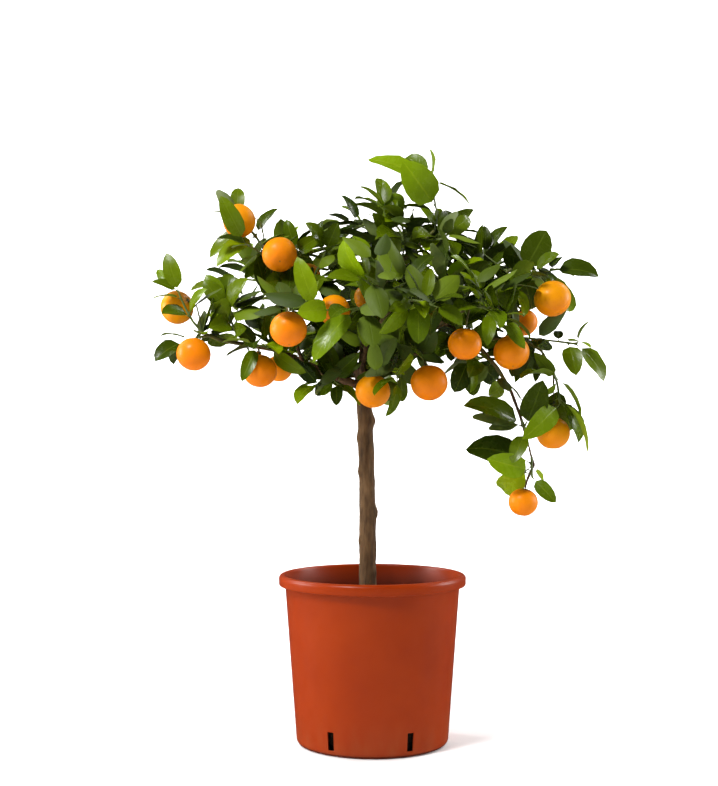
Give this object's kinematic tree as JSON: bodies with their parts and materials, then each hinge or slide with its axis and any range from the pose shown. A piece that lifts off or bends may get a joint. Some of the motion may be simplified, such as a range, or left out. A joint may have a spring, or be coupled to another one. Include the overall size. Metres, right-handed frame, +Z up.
{
  "type": "potted orange tree",
  "caption": "Young standard orange tree with small round fruit and glossy leaves, rooted in compost in a round flared nursery container with drainage slots.",
  "frame": {"origin": "middle of the container's flat foot, on the surface it stands on", "axes": "+Z up along the trunk, -Y towards the side that the open front of the crown faces, +X to the right seen from there"},
  "size_m": [0.4959, 0.398, 0.666],
  "materials": {
    "pot_plastic": "thin terracotta-coloured moulded plastic with a soft sheen",
    "compost": "dark loose damp compost with fibres, matte",
    "bark": "grey-brown finely ridged bark, matte",
    "fruit_peel": "finely pored waxy orange peel",
    "leaves": "glossy waxy leaves, lighter where young, on smooth green twigs"
  },
  "bodies": {
    "root": {"pot": "pot_plastic", "soil": "compost", "trunk_and_limbs": "bark", "fruit_01": "fruit_peel", "fruit_02": "fruit_peel", "fruit_03": "fruit_peel", "fruit_04": "fruit_peel", "fruit_05": "fruit_peel", "fruit_06": "fruit_peel", "fruit_07": "fruit_peel", "fruit_08": "fruit_peel", "fruit_09": "fruit_peel", "fruit_10": "fruit_peel", "fruit_11": "fruit_peel", "fruit_12": "fruit_peel", "fruit_13": "fruit_peel", "fruit_14": "fruit_peel", "fruit_15": "fruit_peel", "fruit_16": "fruit_peel", "fruit_17": "fruit_peel", "fruit_18": "fruit_peel", "fruit_19": "fruit_peel", "fruit_20": "fruit_peel", "fruit_21": "fruit_peel", "shoot_top_leader": "leaves", "shoot_top_left_1": "leaves", "shoot_top_left_2": "leaves", "shoot_top_right_1": "leaves", "shoot_top_right_2": "leaves", "shoot_top_right_3": "leaves", "shoot_right_top": "leaves", "shoot_right_middle": "leaves", "shoot_right_far": "leaves", "shoot_right_low": "leaves", "shoot_droop_middle": "leaves", "shoot_droop_tip": "leaves", "shoot_right_under": "leaves", "shoot_front_right": "leaves", "shoot_front_left": "leaves", "shoot_front_up": "leaves", "shoot_front_down": "leaves", "shoot_centre_low": "leaves", "shoot_trunk_left": "leaves", "shoot_left_tip": "leaves", "shoot_left_end": "leaves", "shoot_left_middle": "leaves", "shoot_left_low": "leaves", "shoot_left_crown": "leaves", "shoot_left_crown_2": "leaves", "shoot_left_crown_3": "leaves", "shoot_left_crown_4": "leaves", "shoot_back_1": "leaves", "shoot_back_2": "leaves", "shoot_back_left_1": "leaves", "shoot_back_left_2": "leaves", "shoot_back_right_1": "leaves", "shoot_back_right_2": "leaves", "shoot_back_top": "leaves", "shoot_back_low": "leaves", "shoot_inner": "leaves"}
  },
  "joints": []
}
